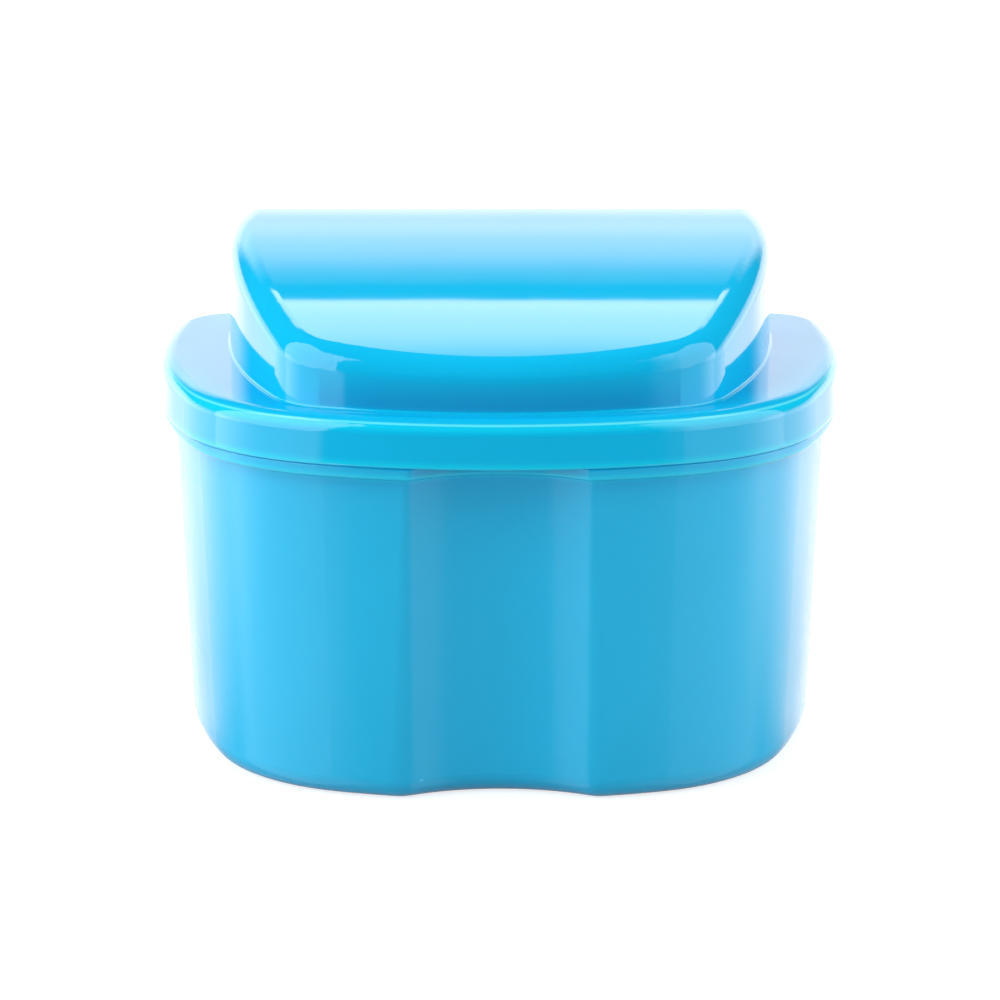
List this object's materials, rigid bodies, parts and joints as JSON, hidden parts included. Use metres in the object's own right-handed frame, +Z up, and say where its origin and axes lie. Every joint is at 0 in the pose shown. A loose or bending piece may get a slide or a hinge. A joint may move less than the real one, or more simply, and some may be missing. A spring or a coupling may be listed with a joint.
{
  "type": "denture case",
  "caption": "D-shaped soaking cup with a dipped front, a lift-out strainer basket with a finger-hole handle, and a lift-off lid with a hollow raised top, for storing dentures.",
  "frame": {"origin": "centre of the case's overall box, on the plane it stands on", "axes": "+Z up, -Y the front with the dip, +X to the right seen from the front"},
  "size_m": [0.1004, 0.082, 0.0726],
  "materials": {
    "container": "satin moulded polypropylene",
    "strainer_basket": "satin natural polypropylene",
    "lid": "polished moulded polypropylene"
  },
  "bodies": {
    "container": {"container": "container"},
    "strainer_basket": {"strainer_basket": "strainer_basket"},
    "lid": {"lid": "lid"}
  },
  "joints": [
    {"name": "lid_lift", "type": "slide", "parent": "container", "child": "lid", "axis": [0, 0, 1], "range_m": [0, 0.12]},
    {"name": "basket_lift", "type": "slide", "parent": "container", "child": "strainer_basket", "axis": [0, 0, 1], "range_m": [0, 0.06]}
  ],
  "couplings": [
    {"joint": "basket_lift", "follows": "lid_lift", "ratio": 0.5}
  ]
}
